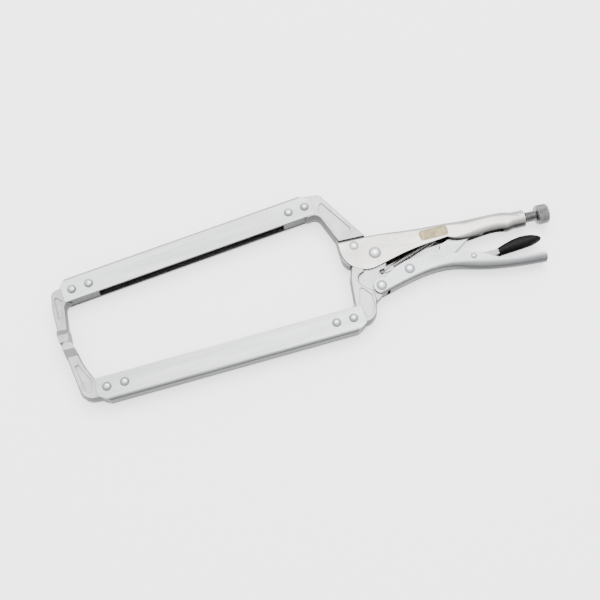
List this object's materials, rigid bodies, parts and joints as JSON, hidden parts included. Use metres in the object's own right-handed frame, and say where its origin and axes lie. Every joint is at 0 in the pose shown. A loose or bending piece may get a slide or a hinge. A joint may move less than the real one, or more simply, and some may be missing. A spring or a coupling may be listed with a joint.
{
  "type": "locking c clamp",
  "caption": "Long reach locking C clamp: two riveted channel arms with forged jaw tips, toggle-link handles, adjusting screw with knurled knob, and a release lever with a dipped grip.",
  "frame": {"origin": "centre of the bounding box at its lowest face; the clamp lies flat on its side", "axes": "+X back along the adjusting screw towards its knob, +Y up to the fixed jaw, +Z through the thickness, away from the surface it lies on"},
  "size_m": [0.4552, 0.1492, 0.021],
  "materials": {
    "handle_steel": "satin nickel plate on pressed sheet steel",
    "forged_steel": "satin plated forging with a fine grain",
    "channel_steel": "satin plated rolled channel",
    "rivet_steel": "bright plated rivets",
    "screw_steel": "zinc plated thread and knurl",
    "spring_steel": "oiled spring wire",
    "lever_steel": "plated pressed steel",
    "grip_vinyl": "satin dipped vinyl",
    "plate_brass": "pale brass-toned blank plate"
  },
  "bodies": {
    "frame": {"upper_handle": "handle_steel", "threaded_insert": "screw_steel", "fixed_jaw": "forged_steel", "fixed_jaw_rivet": "rivet_steel", "main_pivot_rivet": "rivet_steel", "upper_channel": "channel_steel", "upper_jaw_tip": "forged_steel", "upper_tip_rivets": "rivet_steel", "upper_rear_rivets": "rivet_steel", "tension_spring": "spring_steel", "spring_anchor_pin": "rivet_steel", "maker_plate": "plate_brass"},
    "jaw": {"moving_jaw": "forged_steel", "lower_channel": "channel_steel", "lower_jaw_tip": "forged_steel", "lower_tip_rivets": "rivet_steel", "lower_rear_rivets": "rivet_steel"},
    "handle": {"lower_handle": "handle_steel", "handle_pivot_rivet": "rivet_steel", "link_pivot_rivet": "rivet_steel", "lever_rivet": "rivet_steel"},
    "link": {"toggle_link": "handle_steel"},
    "lever": {"release_lever": "lever_steel", "lever_grip": "grip_vinyl"},
    "screw": {"adjusting_screw": "screw_steel"},
    "knob": {"screw_knob": "screw_steel"}
  },
  "joints": [
    {"name": "jaw_pivot", "type": "hinge", "parent": "frame", "child": "jaw", "pos_m": [0.06263, 0.00418, 0.0105], "axis": [0, 0, 1], "range_deg": [0, 15], "deforming": ["tension_spring"]},
    {"name": "handle_pivot", "type": "hinge", "parent": "jaw", "child": "handle", "pos_m": [0.06053, -0.02762, 0.0105], "axis": [0, 0, 1], "range_deg": [-52.22, 0.5]},
    {"name": "link_pivot", "type": "hinge", "parent": "handle", "child": "link", "pos_m": [0.08893, -0.01812, 0.0105], "axis": [0, 0, 1], "range_deg": [-0.5, 51.44]},
    {"name": "release_pivot", "type": "hinge", "parent": "handle", "child": "lever", "pos_m": [0.14813, -0.01962, 0.0105], "axis": [0, 0, 1], "range_deg": [-7, 0]},
    {"name": "screw_travel", "type": "slide", "parent": "frame", "child": "screw", "axis": [1, 0, 0], "range_m": [0, 0.024]},
    {"name": "knob_turn", "type": "hinge", "parent": "screw", "child": "knob", "pos_m": [0.22263, 0.00788, 0.0105], "axis": [1, 0, 0], "range_deg": [0, 5844]}
  ],
  "couplings": [
    {"joint": "handle_pivot", "follows": "jaw_pivot", "ratio": -3.448},
    {"joint": "link_pivot", "follows": "jaw_pivot", "ratio": 3.396},
    {"joint": "knob_turn", "follows": "screw_travel", "rad_per_m": 4188.8}
  ]
}
